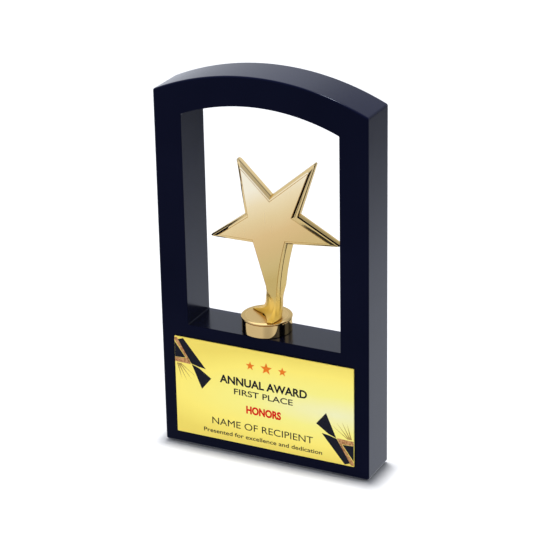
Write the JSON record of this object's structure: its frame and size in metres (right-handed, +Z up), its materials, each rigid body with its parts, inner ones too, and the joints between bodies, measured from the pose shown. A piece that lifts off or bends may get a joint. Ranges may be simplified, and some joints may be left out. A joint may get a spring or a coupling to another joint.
{
  "type": "star trophy",
  "caption": "Free-standing trophy: a gold star figure on a round foot stands in the arched window of a black wooden frame, with a printed plate on the plinth below.",
  "frame": {"origin": "centre of the face the trophy rests on, the underside of its felt pad", "axes": "+Z up, -Y is the front with the plate, +X to the right seen from the front"},
  "size_m": [0.14, 0.0318, 0.2491],
  "materials": {
    "painted_wood": "satin black paint over sanded wood, rubbed smooth",
    "bare_wood": "unpainted pine and beech inside the plinth and in the joints",
    "gold_plate": "gold-plated casting, satin on the star's face and polished on its edges and round foot",
    "printed_plate": "printed aluminium sheet with a gold ground",
    "adhesive": "double-sided adhesive sheet",
    "steel": "zinc-plated fasteners",
    "felt": "black felt"
  },
  "bodies": {
    "root": {"arched_head": "painted_wood", "left_stile": "painted_wood", "right_stile": "painted_wood", "sill_board": "painted_wood", "front_panel": "painted_wood", "rear_panel": "painted_wood", "bottom_board": "bare_wood", "glue_block_left": "bare_wood", "glue_block_right": "bare_wood", "head_dowel_left_front": "bare_wood", "head_dowel_left_rear": "bare_wood", "head_dowel_right_front": "bare_wood", "head_dowel_right_rear": "bare_wood", "sill_dowel_left_front": "bare_wood", "sill_dowel_left_rear": "bare_wood", "sill_dowel_right_front": "bare_wood", "sill_dowel_right_rear": "bare_wood", "bottom_screw_left_front": "steel", "bottom_screw_left_rear": "steel", "bottom_screw_right_front": "steel", "bottom_screw_right_rear": "steel", "star_bolt": "steel", "bolt_washer": "steel", "star_disc": "gold_plate", "star_figure": "gold_plate", "nameplate": "printed_plate", "plate_adhesive": "adhesive", "felt_pad": "felt"}
  },
  "joints": []
}
